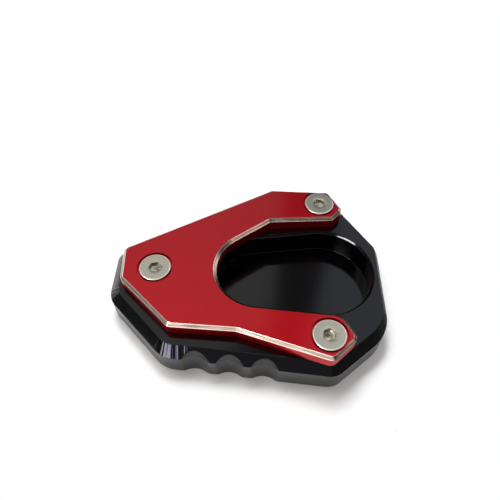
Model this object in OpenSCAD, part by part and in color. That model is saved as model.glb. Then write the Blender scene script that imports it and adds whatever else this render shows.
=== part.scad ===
// Kickstand foot enlarger, in millimetres, +Z up, with the origin in the middle of the underside.
// A milled base plate takes the stand's own foot in a pocket. A clamp plate lies on the base and
// reaches round the pocket with two arms, and three countersunk screws hold it down.

/* [Base plate] */
// Thickness of the base plate
base_t = 14; // [12:0.5:20]
// Width of the base plate, left edge to right edge
base_w = 99.4; // [98:0.1:112]
// Depth of the base plate, back edge to the lowest point of the front
base_d = 79.1; // [78:0.1:90]
// Back end of the left edge
left_edge_back = 7.9; // [4:0.1:12]
// Front end of the left edge
left_edge_front = -12.2; // [-16:0.1:-8]
// Left end of the back edge
back_edge_left = 5.3; // [0:0.1:12]
// Right end of the back edge
back_edge_right = 31.8; // [26:0.1:36]
// Back end of the right edge
right_edge_back = 11.9; // [8:0.1:16]
// Right end of the scalloped front edge
front_right_x = 30.1; // [28:0.1:34]
// Length of the scalloped front edge
front_edge_length = 58.3; // [55:0.1:62]
// Angle of the scalloped front edge to the left-right line
front_edge_angle = 5.3; // [3:0.1:7]
// Angle of the slanting edge at the front right
front_right_angle = 40.1; // [35:0.1:45]
// Rounding of the corner at the back of the left edge
left_back_r = 5; // [4:0.5:8]
// Rounding of the corner at the front of the left edge
left_front_r = 9; // [4:0.5:10]
// Rounding of the corners at the back edge and at the back of the right edge
back_corner_r = 5; // [4:0.5:8]
// Rounding of the corner at the front of the right edge
right_front_r = 17; // [5:0.5:20]
// Rounding of the right end of the front edge
front_right_r = 7; // [4:0.5:10]
// Rounding of the left end of the front edge
front_left_r = 11; // [4:0.5:14]
// Height of the sloping border below the top face
slope_h = 5; // [3:0.5:7]
// How far the sloping border draws in
slope_w = 2.8; // [1.5:0.1:3.2]
// How far it draws in at the left edge
left_slope_w = 4.2; // [2:0.1:5]
// How far it draws in at the right edge
right_slope_w = 2.3; // [1.5:0.1:4]
// Edge break round the underside
foot_break = 0.4; // [0.2:0.1:1]

/* [Scallops] */
// Number of scallops in the front edge
scallop_n = 3; // [1:1:3]
// Radius of a scallop
scallop_r = 6.5; // [5:0.5:9]
// Depth of a scallop at the top of the upright wall
scallop_depth = 1.8; // [1:0.1:2.5]
// Distance from one scallop to the next
scallop_pitch = 11.7; // [10.5:0.1:14]
// Distance of the first scallop from the left end of the front edge
scallop_first = 11.3; // [9:0.1:16]
// Lean of the scallops, which makes them shallower towards the underside
scallop_lean = 3; // [0:0.5:5]

/* [Foot pocket] */
// Depth of the pocket below the top face
pocket_depth = 10; // [5:0.5:10]
// Radius of the pocket's right end
pocket_r = 18.1; // [15:0.1:19]
// Upright wall and border left between the pocket's right end and the right edge
pocket_wall = 4.3; // [4:0.1:8]
// Middle of the pocket's right end, towards the back
pocket_y = -1; // [-3:0.1:3]
// Distance between the middles of the pocket's round ends, to the right
pocket_run = 22.9; // [18:0.1:26]
// Distance between the middles of the pocket's round ends, towards the back
pocket_slant = 2.7; // [0:0.1:5]
// Edge break round the pocket's mouth
pocket_break = 0.7; // [0.3:0.1:1]
// How far the clamp plate reaches over the pocket's left end
foot_overlap = 2; // [0.5:0.1:3]

/* [Clamp plate] */
// Thickness of the clamp plate
plate_t = 5; // [4.5:0.5:8]
// Bright chamfer round the clamp plate's top face
plate_chamfer = 1.1; // [0.5:0.1:1.2]
// Border of the base left free at the back end of the left edge
margin_left = 4.2; // [3:0.1:6]
// Extra border at the front end of the left edge
margin_left_taper = 1; // [0:0.1:2]
// Border left free at the front of the left edge, along the edge
left_step_front = 2.7; // [1.5:0.1:4]
// Border left free at the back of the left edge, along the edge
left_step_back = 4; // [3:0.1:6]
// Border left free along the back edge
margin_back = 4.5; // [3:0.1:7]
// How far the back edge falls off towards the right
back_fall = 0.6; // [0:0.1:1.5]
// Distance from the front left corner of the base to the plate's corner, to the right
front_corner_dx = 2.2; // [0:0.1:5]
// Distance from the front left corner of the base to the plate's corner, towards the back
front_corner_dy = 6.8; // [5.5:0.1:9]
// Length of the plate's edge beside the scallops
waist_length = 22.6; // [18:0.1:26]
// Drop of that edge towards the front
waist_drop = 1.1; // [0:0.1:3]
// Radius of the opening's round end
opening_r = 15.5; // [12:0.1:17]
// Rounding of the plate's outer corners
plate_corner_r = 1.5; // [1.5:0.1:3]

/* [Clamp plate arms] */
// Screws of the arms to the right ends of the arms' inner edges
arm_inner_x = 4.7; // [3:0.1:7]
// Screw of the back arm to its inner edge
back_arm_inner = 7.9; // [7.2:0.1:10]
// Length of the back arm's straight inner edge
back_arm_length = 23.8; // [18:0.1:28]
// Rise of that edge towards the right
back_arm_rise = 1.6; // [0:0.1:3]
// Screw of the back arm to the right end of its back edge
back_arm_outer = 3.8; // [1:0.1:5]
// Screw of the back arm to its tip, to the right
back_arm_tip_x = 9.3; // [8:0.1:11]
// Screw of the back arm to its tip, towards the front
back_arm_tip_y = 3; // [1:0.1:5]
// Screw of the front arm to its inner edge
front_arm_inner = 7.8; // [7:0.1:10]
// Screw of the front arm to its right tip, to the right
front_arm_tip_x = 9.6; // [8:0.1:11]
// Screw of the front arm to its right tip, towards the front
front_arm_tip_y = 0.7; // [0:0.1:3]
// Screw of the front arm to its front tip, to the right
front_arm_nose_x = 0.9; // [0:0.1:4]
// Screw of the front arm to its front tip, towards the front
front_arm_nose_y = 8.9; // [8:0.1:10]

/* [Screws] */
// Distance of the two arms' screws from the right edge of the base
arm_screw_inset = 22.5; // [20:0.1:25]
// Distance of the back arm's screw from the back edge of the base
back_screw_inset = 11.65; // [10.5:0.05:13]
// Distance of the front arm's screw from the lowest point of the front edge
front_screw_inset = 10.05; // [9:0.05:11]
// Distance of the left screw from the plate's left edge
left_screw_inset = 12.7; // [8:0.1:18]
// Left screw, towards the back
left_screw_y = -4.6; // [-7:0.1:-2]
// Diameter of the screw thread
thread_d = 6; // [4:0.5:6]
// Length of a screw with its head
screw_length = 16; // [12:1:18]
// Diameter of a screw head
head_d = 11.2; // [10:0.1:11.6]
// How far a head stands above the clamp plate
head_proud = 0.1; // [0:0.1:0.6]
// Width of the hexagon socket across its flats
socket_w = 4; // [2.5:0.5:5]
// Depth of the hexagon socket
socket_depth = 2; // [1:0.1:2.4]
// Edge break at the end of a screw and at the mouth of its hole
thread_break = 0.6; // [0.3:0.1:0.9]
// Gap between a head and its countersink's cone, carried up to the top face
sink_gap = 0.4; // [0.2:0.05:0.6]
// Gap between a head and the straight mouth of its countersink
mouth_gap = 0.7; // [0.5:0.05:0.9]
// Depth of that mouth
mouth_depth = 0.65; // [0.4:0.05:0.8]
// Clearance round a thread where it passes through the clamp plate
pass_gap = 0.3; // [0.1:0.05:0.5]
// Clearance round a thread in the base plate
thread_gap = 0.05; // [0.02:0.01:0.1]
// Clearance between the cone of a head and its seat
seat_gap = 0.03; // [0.01:0.01:0.05]

/* [Hidden] */
arc_step = 6;
arc_slack = 0.01;
round_fn = 64;
over = 0.5;
lap = 0.25;

base_color = [0.13, 0.13, 0.14];
plate_color = [0.65, 0.14, 0.18];
screw_color = [0.74, 0.73, 0.69];

top_z = base_t + plate_t;
slope_z = base_t - slope_h;
pocket_floor = base_t - pocket_depth;
thread_r = thread_d / 2;
head_r = head_d / 2;
sink_r = head_r + sink_gap;
mouth_r = head_r + mouth_gap;
socket_point = socket_w / 4;

base_left = base_w / 2;
base_right = base_w / 2;
base_back = base_d / 2;

pocket_x = base_right - pocket_wall - pocket_r;
pocket_centre = [pocket_x, pocket_y];
opening_centre = pocket_centre - [pocket_run, pocket_slant];

plate_left = -base_left + margin_left;
arm_screw_x = base_right - arm_screw_inset;
left_screw = [plate_left + left_screw_inset, left_screw_y];
back_screw = [arm_screw_x, base_back - back_screw_inset];
front_screw = [arm_screw_x, front_screw_inset - base_back];
screws = [left_screw, back_screw, front_screw];

// Unit vector along v
function unit(v) = v / norm(v);

// A point of a corner without its radius
function spot(c) = [c[0], c[1]];

// Angle from one direction to another, kept between -180 and 180 degrees
function turn(from, to) = let (d = to - from) d > 180 ? d - 360 : d < -180 ? d + 360 : d;

// Points of an arc about a centre
function arc(centre, r, start, sweep) =
    let (n = max(2, ceil(abs(sweep) / arc_step - arc_slack)))
    [for (i = [0:n]) centre + r * [cos(start + sweep * i / n), sin(start + sweep * i / n)]];

// Step from a corner to the middle of an arc of radius 1 between its edges u and w
function corner_inward(u, w) = unit(u + w) / sin(acos(u * w) / 2);

// Points that round the corner at p, on the way from a to b
function corner_arc(a, p, b, r) =
    let (u = unit(a - p), w = unit(b - p), half = acos(u * w) / 2)
    let (inward = corner_inward(u, w))
    let (first = u / tan(half) - inward, last = w / tan(half) - inward)
    let (start = atan2(first[1], first[0]))
    arc(p + inward * r, r, start, turn(start, atan2(last[1], last[0])));

// Outline through corners [x, y, radius], listed against the clock
function rounded(c) = [for (i = [0:len(c) - 1])
    let (a = c[(i + len(c) - 1) % len(c)], b = c[(i + 1) % len(c)])
    each corner_arc(spot(a), spot(c[i]), spot(b), c[i][2])];

// The same corners drawn in by d, with the arcs kept about their centres
function drawn_in(c, d) = [for (i = [0:len(c) - 1])
    let (p = spot(c[i]), a = spot(c[(i + len(c) - 1) % len(c)]), b = spot(c[(i + 1) % len(c)]))
    let (u = unit(p - a), w = unit(b - p))
    let (n = [-u[1], u[0]], m = [-w[1], w[0]])
    let (q = p + d * (n + m) / (1 + n * m))
    [q[0], q[1], c[i][2] - d * sign(cross(u, w))]];

// Direction of the tangent from point p to a circle, on the side given as 1 or -1
function tangent_angle(p, centre, r, side) =
    let (v = centre - p) atan2(v[1], v[0]) + side * asin(r / norm(v));

// Point where the line from p at angle a meets the line from q at angle b
function meeting(p, a, q, b) =
    let (u = [cos(a), sin(a)], w = [cos(b), sin(b)])
    p + u * cross(q - p, w) / cross(u, w);

// Outline of two circles joined by their outer tangents
function belt(c1, r1, c2, r2) =
    let (v = c2 - c1, axis = atan2(v[1], v[0]), side = acos((r1 - r2) / norm(v)))
    concat(arc(c1, r1, axis + side, 360 - 2 * side), arc(c2, r2, axis - side, 2 * side));

// Ends of the front edge. The rounded right end is the lowest point of the outline.
to_left = [-cos(front_edge_angle), sin(front_edge_angle)];
to_right = [cos(front_right_angle), sin(front_right_angle)];
end_rise = corner_inward(to_left, to_right)[1];
front_right = [front_right_x, front_right_r * (1 - end_rise) - base_d / 2];
front_left = front_right + to_left * front_edge_length;
right_edge_front = front_right[1] + (base_right - front_right_x) * tan(front_right_angle);

// Corners of the base plate, against the clock from the back of the left edge
base_corners = [
    [-base_left, left_edge_back, left_back_r],
    [-base_left, left_edge_front, left_front_r],
    [front_left[0], front_left[1], front_left_r],
    [front_right[0], front_right[1], front_right_r],
    [base_right, right_edge_front, right_front_r],
    [base_right, right_edge_back, back_corner_r],
    [back_edge_right, base_back, back_corner_r],
    [back_edge_left, base_back, back_corner_r]
];

// Point at the given x on the line through two corners
function at_x(a, b, x) = spot(a) + (spot(b) - spot(a)) * (x - a[0]) / (b[0] - a[0]);

// The same corners for the top face, where the left and right edges draw in by their own widths
top_left = left_slope_w - slope_w - base_left;
top_right = base_right + slope_w - right_slope_w;
top_corners = [for (i = [0:len(base_corners) - 1])
    let (c = base_corners[i])
    let (p = i == 0 ? at_x(c, base_corners[7], top_left)
        : i == 1 ? at_x(c, base_corners[2], top_left)
        : i == 4 ? at_x(c, base_corners[3], top_right)
        : i == 5 ? at_x(c, base_corners[6], top_right)
        : spot(c))
    [p[0], p[1], c[2]]];

// Corners of the clamp plate, against the clock from the back of its left edge
waist_start = front_left + [front_corner_dx, front_corner_dy];
waist_end = waist_start + [waist_length, -waist_drop];
front_nose = front_screw + [front_arm_nose_x, -front_arm_nose_y];
front_tip = front_screw + [front_arm_tip_x, -front_arm_tip_y];
front_inner = front_screw + [arm_inner_x, front_arm_inner];
back_inner = back_screw + [arm_inner_x, -back_arm_inner];
back_bend = back_inner - [back_arm_length, back_arm_rise];
back_tip = back_screw + [back_arm_tip_x, -back_arm_tip_y];
back_outer_y = base_back - margin_back;
opening_apex = meeting(
    front_inner, tangent_angle(front_inner, opening_centre, opening_r, 1),
    back_bend, tangent_angle(back_bend, opening_centre, opening_r, -1));
// Left end of the back edge, on a line beside the long back slant of the base
slant = unit([back_edge_left + base_left, base_back - left_edge_back]);
plate_left_back = [plate_left, left_edge_back - left_step_back];
back_corner_x = plate_left + (back_outer_y - plate_left_back[1]) * slant[0] / slant[1];
plate_corners = [
    [plate_left, plate_left_back[1], 2 * plate_corner_r],
    [plate_left + margin_left_taper, left_edge_front + left_step_front, plate_corner_r],
    [waist_start[0], waist_start[1], plate_corner_r],
    [waist_end[0], waist_end[1], plate_corner_r],
    [front_nose[0], front_nose[1], plate_corner_r],
    [front_tip[0], front_tip[1], plate_corner_r],
    [front_inner[0], front_inner[1], 2 * plate_corner_r],
    [opening_apex[0], opening_apex[1], opening_r],
    [back_bend[0], back_bend[1], plate_corner_r],
    [back_inner[0], back_inner[1], plate_corner_r],
    [back_tip[0], back_tip[1], plate_corner_r],
    [back_screw[0] + back_arm_outer, back_outer_y - back_fall, plate_corner_r],
    [back_corner_x, back_outer_y, plate_corner_r]
];

// Outline of the foot pocket, let out by d
function pocket_outline(d) =
    belt(pocket_centre, pocket_r + d, opening_centre, opening_r + foot_overlap + d);

// Outline of corners drawn in by d, as points at height z
function level(corners, d, z) = [for (p = rounded(drawn_in(corners, d))) [p[0], p[1], z]];

// Outline of the pocket let out by d, as points at height z
function pocket_level(d, z) = [for (p = pocket_outline(d)) [p[0], p[1], z]];

// Row k of side faces between one level and the next
function side_faces(k, n, count) = [for (i = [0:n - 1])
    let (j = (i + 1) % n, next = (k + 1) % count)
    [k * n + j, k * n + i, next * n + i, next * n + j]];

// Solid through convex levels, listed upwards and closed by a flat face at each end
module stack(levels) {
    n = len(levels[0]);
    count = len(levels);
    sides = [for (k = [0:count - 2]) each side_faces(k, n, count)];
    foot = [for (i = [0:n - 1]) i];
    head = [for (i = [0:n - 1]) count * n - 1 - i];
    polyhedron(points = [for (l = levels) each l], faces = concat(sides, [foot, head]));
}

// Closed ring through levels, listed round its section from the outer foot to the inner head
module ring(levels) {
    n = len(levels[0]);
    count = len(levels);
    polyhedron(points = [for (l = levels) each l],
        faces = [for (k = [0:count - 1]) each side_faces(k, n, count)]);
}

// One scallop of the front edge, standing on the underside and leaning outwards
module scallop(i) {
    along = unit(front_right - front_left);
    outward = [along[1], -along[0]];
    place = front_left + along * (scallop_first + i * scallop_pitch)
        + outward * (scallop_r - scallop_depth);
    translate([place[0], place[1], slope_z])
        rotate([0, 0, atan2(along[1], along[0])])
            rotate([-scallop_lean, 0, 0])
                translate([0, 0, -2 * base_t])
                    cylinder(r = scallop_r, h = 4 * base_t, $fn = round_fn);
}

// Foot pocket with the edge break round its mouth
module pocket() {
    stack([
        pocket_level(0, pocket_floor),
        pocket_level(0, base_t - pocket_break),
        pocket_level(pocket_break + over, base_t + over)
    ]);
}

// Threaded hole through the base plate, with an edge break at the underside
module screw_hole(at) {
    translate([at[0], at[1], -over])
        cylinder(r = thread_r + thread_gap, h = base_t + 2 * over, $fn = round_fn);
    translate([at[0], at[1], -over])
        cylinder(r1 = thread_r + thread_break + over, r2 = thread_r,
            h = thread_break + over, $fn = round_fn);
}

// Base plate: sloping border, scallops, foot pocket and three threaded holes
module base_plate() {
    color(base_color)
        difference() {
            stack([
                level(base_corners, foot_break, 0),
                level(base_corners, 0, foot_break),
                level(base_corners, 0, slope_z),
                level(top_corners, slope_w, base_t)
            ]);
            for (i = [0:scallop_n - 1])
                scallop(i);
            pocket();
            for (at = screws)
                screw_hole(at);
        }
}

// Clamp plate: two arms round the pocket, a chamfer on every top edge and three countersinks
module clamp_plate() {
    color(plate_color)
        difference() {
            translate([0, 0, base_t])
                linear_extrude(plate_t)
                    polygon(rounded(plate_corners));
            ring([
                level(plate_corners, 0, top_z - plate_chamfer),
                level(plate_corners, -lap, top_z - plate_chamfer),
                level(plate_corners, -lap, top_z + lap),
                level(plate_corners, plate_chamfer, top_z + lap),
                level(plate_corners, plate_chamfer, top_z)
            ]);
            for (at = screws)
                translate([at[0], at[1], base_t]) {
                    translate([0, 0, -over])
                        cylinder(r = thread_r + pass_gap, h = plate_t + 2 * over, $fn = round_fn);
                    translate([0, 0, plate_t - sink_r])
                        cylinder(r1 = 0, r2 = sink_r, h = sink_r, $fn = round_fn);
                    translate([0, 0, plate_t - mouth_depth])
                        cylinder(r = mouth_r, h = mouth_depth + over, $fn = round_fn);
                }
        }
}

// Countersunk screw with a hexagon socket. The head's cone follows the countersink.
module screw(at) {
    head_top = top_z + head_proud;
    cone_top = top_z - sink_gap + seat_gap;
    cone_foot = cone_top - (head_r - thread_r);
    tip = head_top - screw_length;
    socket_r = socket_w / 2 / cos(30);
    color(screw_color)
        translate([at[0], at[1], 0])
            difference() {
                rotate_extrude($fn = round_fn)
                    polygon([
                        [0, tip],
                        [thread_r - thread_break, tip],
                        [thread_r, tip + thread_break],
                        [thread_r, cone_foot],
                        [head_r, cone_top],
                        [head_r, head_top],
                        [0, head_top]
                    ]);
                translate([0, 0, head_top - socket_depth])
                    cylinder(r = socket_r, h = socket_depth + over, $fn = 6);
                translate([0, 0, head_top - socket_depth - socket_point])
                    cylinder(r1 = 0, r2 = socket_w / 2, h = socket_point, $fn = round_fn);
            }
}

base_plate();
clamp_plate();
screw(left_screw);  // screw_left
screw(back_screw);  // screw_back
screw(front_screw);  // screw_front
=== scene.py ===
"""Looks of the kickstand foot enlarger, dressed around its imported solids.

Lengths in the dataclass fields are millimetres, as on a maker's drawing. Meshes are metres.
"""

from __future__ import annotations

import logging
from dataclasses import dataclass, field
from enum import Enum
from math import acos, atan2, ceil, cos, pi, radians, sin, sqrt, tan

import bpy
import numpy as np
from mathutils import Matrix, Vector
from mathutils.geometry import delaunay_2d_cdt


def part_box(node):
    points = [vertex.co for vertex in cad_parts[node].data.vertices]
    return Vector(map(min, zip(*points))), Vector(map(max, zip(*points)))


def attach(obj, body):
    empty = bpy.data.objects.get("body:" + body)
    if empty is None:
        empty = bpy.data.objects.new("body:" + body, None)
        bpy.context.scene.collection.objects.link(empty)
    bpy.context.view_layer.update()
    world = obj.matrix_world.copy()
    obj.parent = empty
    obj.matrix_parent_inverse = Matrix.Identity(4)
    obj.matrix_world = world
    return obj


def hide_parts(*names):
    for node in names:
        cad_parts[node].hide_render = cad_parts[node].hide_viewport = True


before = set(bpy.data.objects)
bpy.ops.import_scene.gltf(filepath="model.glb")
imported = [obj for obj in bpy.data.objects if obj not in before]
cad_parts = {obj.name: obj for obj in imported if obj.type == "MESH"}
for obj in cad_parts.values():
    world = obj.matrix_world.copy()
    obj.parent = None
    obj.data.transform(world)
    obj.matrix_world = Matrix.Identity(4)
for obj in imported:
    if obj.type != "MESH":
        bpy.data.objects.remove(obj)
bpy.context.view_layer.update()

LOG = logging.getLogger("foot_enlarger")
MM = 0.001  # Metres in a millimetre
ARC_STEP = 3.0  # Turn between two points of an arc, in degrees
SHARP_ANGLE = 32.0  # Edges that bend by more are drawn sharp, in degrees
LEVEL_GAP = 0.01  # Height that tells one level of a section from the next, in millimetres
WELD_DIGITS = 5  # Decimals of a millimetre to which welded corners agree
TRIANGLE_GAP = 1e-9  # Distance under which the triangulation takes two points for one
FRONT_EDGE = 2  # Number of the base plate's corner at which its scalloped front edge starts
PATTERN_MAP = "surface_mm"  # UV map that holds pattern coordinates in millimetres
RIDGES_AND_HIGHLIGHT = "ridges_and_painted_highlight"  # Attribute that holds the share of mill ridges and of painted rim highlights
WHITE = (1.0, 1.0, 1.0, 1.0)

Tree = bpy.types.NodeTree
Socket = bpy.types.NodeSocket
Material = bpy.types.Material
Piece = bpy.types.Object
Spot = tuple[float, float, float]


class Slot(Enum):
    """The record's material slots."""

    BASE = "black_anodised_aluminium"
    CLAMP = "red_anodised_aluminium"
    SCREW = "stainless_steel"


class Facing(Enum):
    """Which way a flat face looks."""

    UP = 1
    DOWN = -1


class Groove(Enum):
    """Which way a thread's groove goes from its plain surface: into a screw, out into a hole."""

    INWARDS = -1
    OUTWARDS = 1


class Band(Enum):
    """A plate's two surfaces, by the place of their material on the mesh."""

    FACE = 0
    EDGE = 1


# Plane geometry


def unit(v: np.ndarray) -> np.ndarray:
    """Scales each row vector to length 1."""
    return v / np.linalg.norm(v, axis=-1, keepdims=True)


def cross(u: np.ndarray, w: np.ndarray) -> np.ndarray:
    """Plane cross product of rows, positive where w lies against the clock from u."""
    return u[..., 0] * w[..., 1] - u[..., 1] * w[..., 0]


def ring_arc(
    centre: np.ndarray, radius: float, start: float, sweep: float, count: int
) -> np.ndarray:
    """Points of an arc: centre plus radius along evenly spaced angles.

    Args:
        centre: Middle of the arc.
        radius: Radius of the arc.
        start: First angle in radians.
        sweep: Turn from the first angle to the last, in radians.
        count: Number of points.

    Returns:
        An array of count points.
    """
    angle = start + sweep * np.linspace(0, 1, count)
    return centre + radius * np.stack([np.cos(angle), np.sin(angle)], axis=1)


@dataclass
class Outline:
    """Closed outline through rounded corners, listed against the clock.

    Each inset draws the corners in along their mitres and keeps each arc about its own middle, so
    the same point numbers lie side by side at every inset.

    Attributes:
        corners: Rows of x, y and radius.
        pitch: Spacing of the points that divide the straight stretches, one for each corner's
            following edge.
        lean: How far each corner moves along its neighbour's line when the whole move is asked for.
        arc_step: Turn between two points of an arc, in degrees.
    """

    corners: np.ndarray
    pitch: list[float]
    lean: np.ndarray | float = 0.0
    arc_step: float = ARC_STEP

    def _frames(self, inset: float, share: float = 0.0) -> tuple[np.ndarray, ...]:
        """Corner arcs at an inset.

        Args:
            inset: How far the outline is drawn in.
            share: Share of the corners' move.

        Returns:
            Middles, radii, start angles and sweeps of the corner arcs.
        """
        p = self.corners[:, :2] + share * self.lean
        u, w = unit(p - np.roll(p, 1, 0)), unit(np.roll(p, -1, 0) - p)
        n, m = np.stack([-u[:, 1], u[:, 0]], 1), np.stack([-w[:, 1], w[:, 0]], 1)
        corner = p + inset * (n + m) / (1 + (n * m).sum(1, keepdims=True))
        radius = self.corners[:, 2] - inset * np.sign(cross(u, w))
        half = np.arccos(np.clip((-u * w).sum(1), -1, 1)) / 2
        middle = corner + unit(w - u) * (radius / np.sin(half))[:, None]
        first = -u / np.tan(half)[:, None] - unit(w - u) / np.sin(half)[:, None]
        last = w / np.tan(half)[:, None] - unit(w - u) / np.sin(half)[:, None]
        start = np.arctan2(first[:, 1], first[:, 0])
        sweep = (np.arctan2(last[:, 1], last[:, 0]) - start + pi) % (2 * pi) - pi
        return middle, radius, start, sweep

    def at(self, inset: float, share: float = 0.0) -> np.ndarray:
        """Points of the outline at an inset.

        Args:
            inset: How far the outline is drawn in.
            share: Share of the corners' move.

        Returns:
            An array of points, the same number at each inset.
        """
        middle, radius, start, sweep = self._frames(inset, share)
        arcs = [
            ring_arc(middle[k], radius[k], start[k], sweep[k], self.arc_points(k))
            for k in range(len(self.corners))
        ]
        points = []
        for k, arc in enumerate(arcs):
            run = np.linspace(0, 1, self.run_points(k) + 2)[1:-1, None]
            points += [arc, arc[-1] + (arcs[(k + 1) % len(arcs)][0] - arc[-1]) * run]
        return np.concatenate(points)

    def arc_points(self, k: int) -> int:
        """Number of points on the arc of corner k: its turn over the step, never under three."""
        sweep = self._frames(0)[3]
        return max(3, ceil(abs(np.degrees(sweep[k])) / self.arc_step) + 1)

    def run_points(self, k: int) -> int:
        """Number of points between the arcs of corner k and the next.

        Args:
            k: Number of the corner.

        Returns:
            The straight stretch's length over its pitch, rounded down.
        """
        middle, radius, start, sweep = self._frames(0)
        j = (k + 1) % len(self.corners)
        tip = middle[k] + radius[k] * np.array([cos(start[k] + sweep[k]), sin(start[k] + sweep[k])])
        foot = middle[j] + radius[j] * np.array([cos(start[j]), sin(start[j])])
        return int(np.linalg.norm(foot - tip) / self.pitch[k])

    def run_slice(self, k: int) -> slice:
        """Point numbers of the straight stretch after corner k, with the arc ends beside it."""
        last = sum(self.arc_points(i) + self.run_points(i) for i in range(k)) + self.arc_points(k)
        return slice(last - 1, last + self.run_points(k) + 1)


@dataclass
class Belt:
    """Outline of two circles joined by their outer tangents, listed against the clock.

    Attributes:
        first: Middle of the first circle.
        first_r: Radius of the first circle.
        second: Middle of the second circle.
        second_r: Radius of the second circle.
        arc_count: Points on each arc.
        run_count: Points between the arcs.
    """

    first: np.ndarray
    first_r: float
    second: np.ndarray
    second_r: float
    arc_count: int = 121
    run_count: int = 24

    def at(self, outset: float) -> np.ndarray:
        """Points of the outline let out by a distance.

        Args:
            outset: How far both radii grow.

        Returns:
            An array of points, the same number at each outset.
        """
        v = self.second - self.first
        axis, side = atan2(v[1], v[0]), acos((self.first_r - self.second_r) / np.linalg.norm(v))
        radii, count = (self.first_r + outset, self.second_r + outset), self.arc_count
        one = ring_arc(self.first, radii[0], axis + side, 2 * pi - 2 * side, count)
        two = ring_arc(self.second, radii[1], axis - side, 2 * side, count)
        run = np.linspace(0, 1, self.run_count + 2)[1:-1, None]
        over, back = one[-1] + (two[0] - one[-1]) * run, two[-1] + (one[0] - two[-1]) * run
        return np.concatenate([one, over, two, back])


def eased(profile: list[tuple[float, float, float]], steps: int = 4) -> np.ndarray:
    """Section whose corners are rounded by tangent arcs.

    Args:
        profile: Corners as distance, height and rounding radius, in order. The ends stay sharp.
        steps: Segments in each rounding.

    Returns:
        Rows of distance and height.
    """
    section = [np.array([profile[0][:2]])]
    for a, p, b in zip(profile, profile[1:], profile[2:]):
        corner, radius = np.array(p[:2]), p[2]
        if radius <= 0:
            section.append(corner[None])
            continue
        u, w = unit(np.array(a[:2]) - corner), unit(np.array(b[:2]) - corner)
        half = acos(float(u @ w)) / 2
        middle = corner + unit(u + w) * radius / sin(half)
        first, last = (corner + v * radius / tan(half) - middle for v in (u, w))
        start = atan2(first[1], first[0])
        sweep = (atan2(last[1], last[0]) - start + pi) % (2 * pi) - pi
        section.append(ring_arc(middle, radius, start, sweep, steps + 1))
    section.append(np.array([profile[-1][:2]]))
    return np.concatenate(section)


def divided(section: np.ndarray, pitch: float, low: float, high: float) -> np.ndarray:
    """Section with extra points on its segments between two heights.

    Args:
        section: Rows of distance and height.
        pitch: Largest length of a segment between the heights.
        low: Height above which segments are divided.
        high: Height below which segments are divided.

    Returns:
        The section with the points added.
    """
    rows = [section[:1]]
    for a, b in zip(section, section[1:]):
        inside = low <= min(a[1], b[1]) and max(a[1], b[1]) <= high
        count = max(1, ceil(np.linalg.norm(b - a) / pitch)) if inside else 1
        rows.append(a + (b - a) * np.linspace(0, 1, count + 1)[1:, None])
    return np.concatenate(rows)


def softer_max(a: np.ndarray, b: np.ndarray, blend: float) -> np.ndarray:
    """Larger of two fields, smoothly: the mean plus half of a rounded difference."""
    return 0.5 * (a + b + np.sqrt((a - b) ** 2 + blend**2))


def inside_loops(points: np.ndarray, loops: list[np.ndarray]) -> np.ndarray:
    """Tells which points lie inside an odd number of loops, by counting crossings of a ray.

    Args:
        points: Points to test.
        loops: Closed loops of points.

    Returns:
        A truth value for each point.
    """
    odd = np.zeros(len(points), bool)
    for loop in loops:
        a, b = loop, np.roll(loop, -1, 0)
        rises = (a[:, 1] > points[:, None, 1]) != (b[:, 1] > points[:, None, 1])
        with np.errstate(divide="ignore", invalid="ignore"):
            share = (points[:, None, 1] - a[:, 1]) / (b[:, 1] - a[:, 1])
        reach = a[:, 0] + share * (b[:, 0] - a[:, 0])
        odd ^= ((rises & (points[:, None, 0] < reach)).sum(1) % 2).astype(bool)
    return odd


# Meshes


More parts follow.
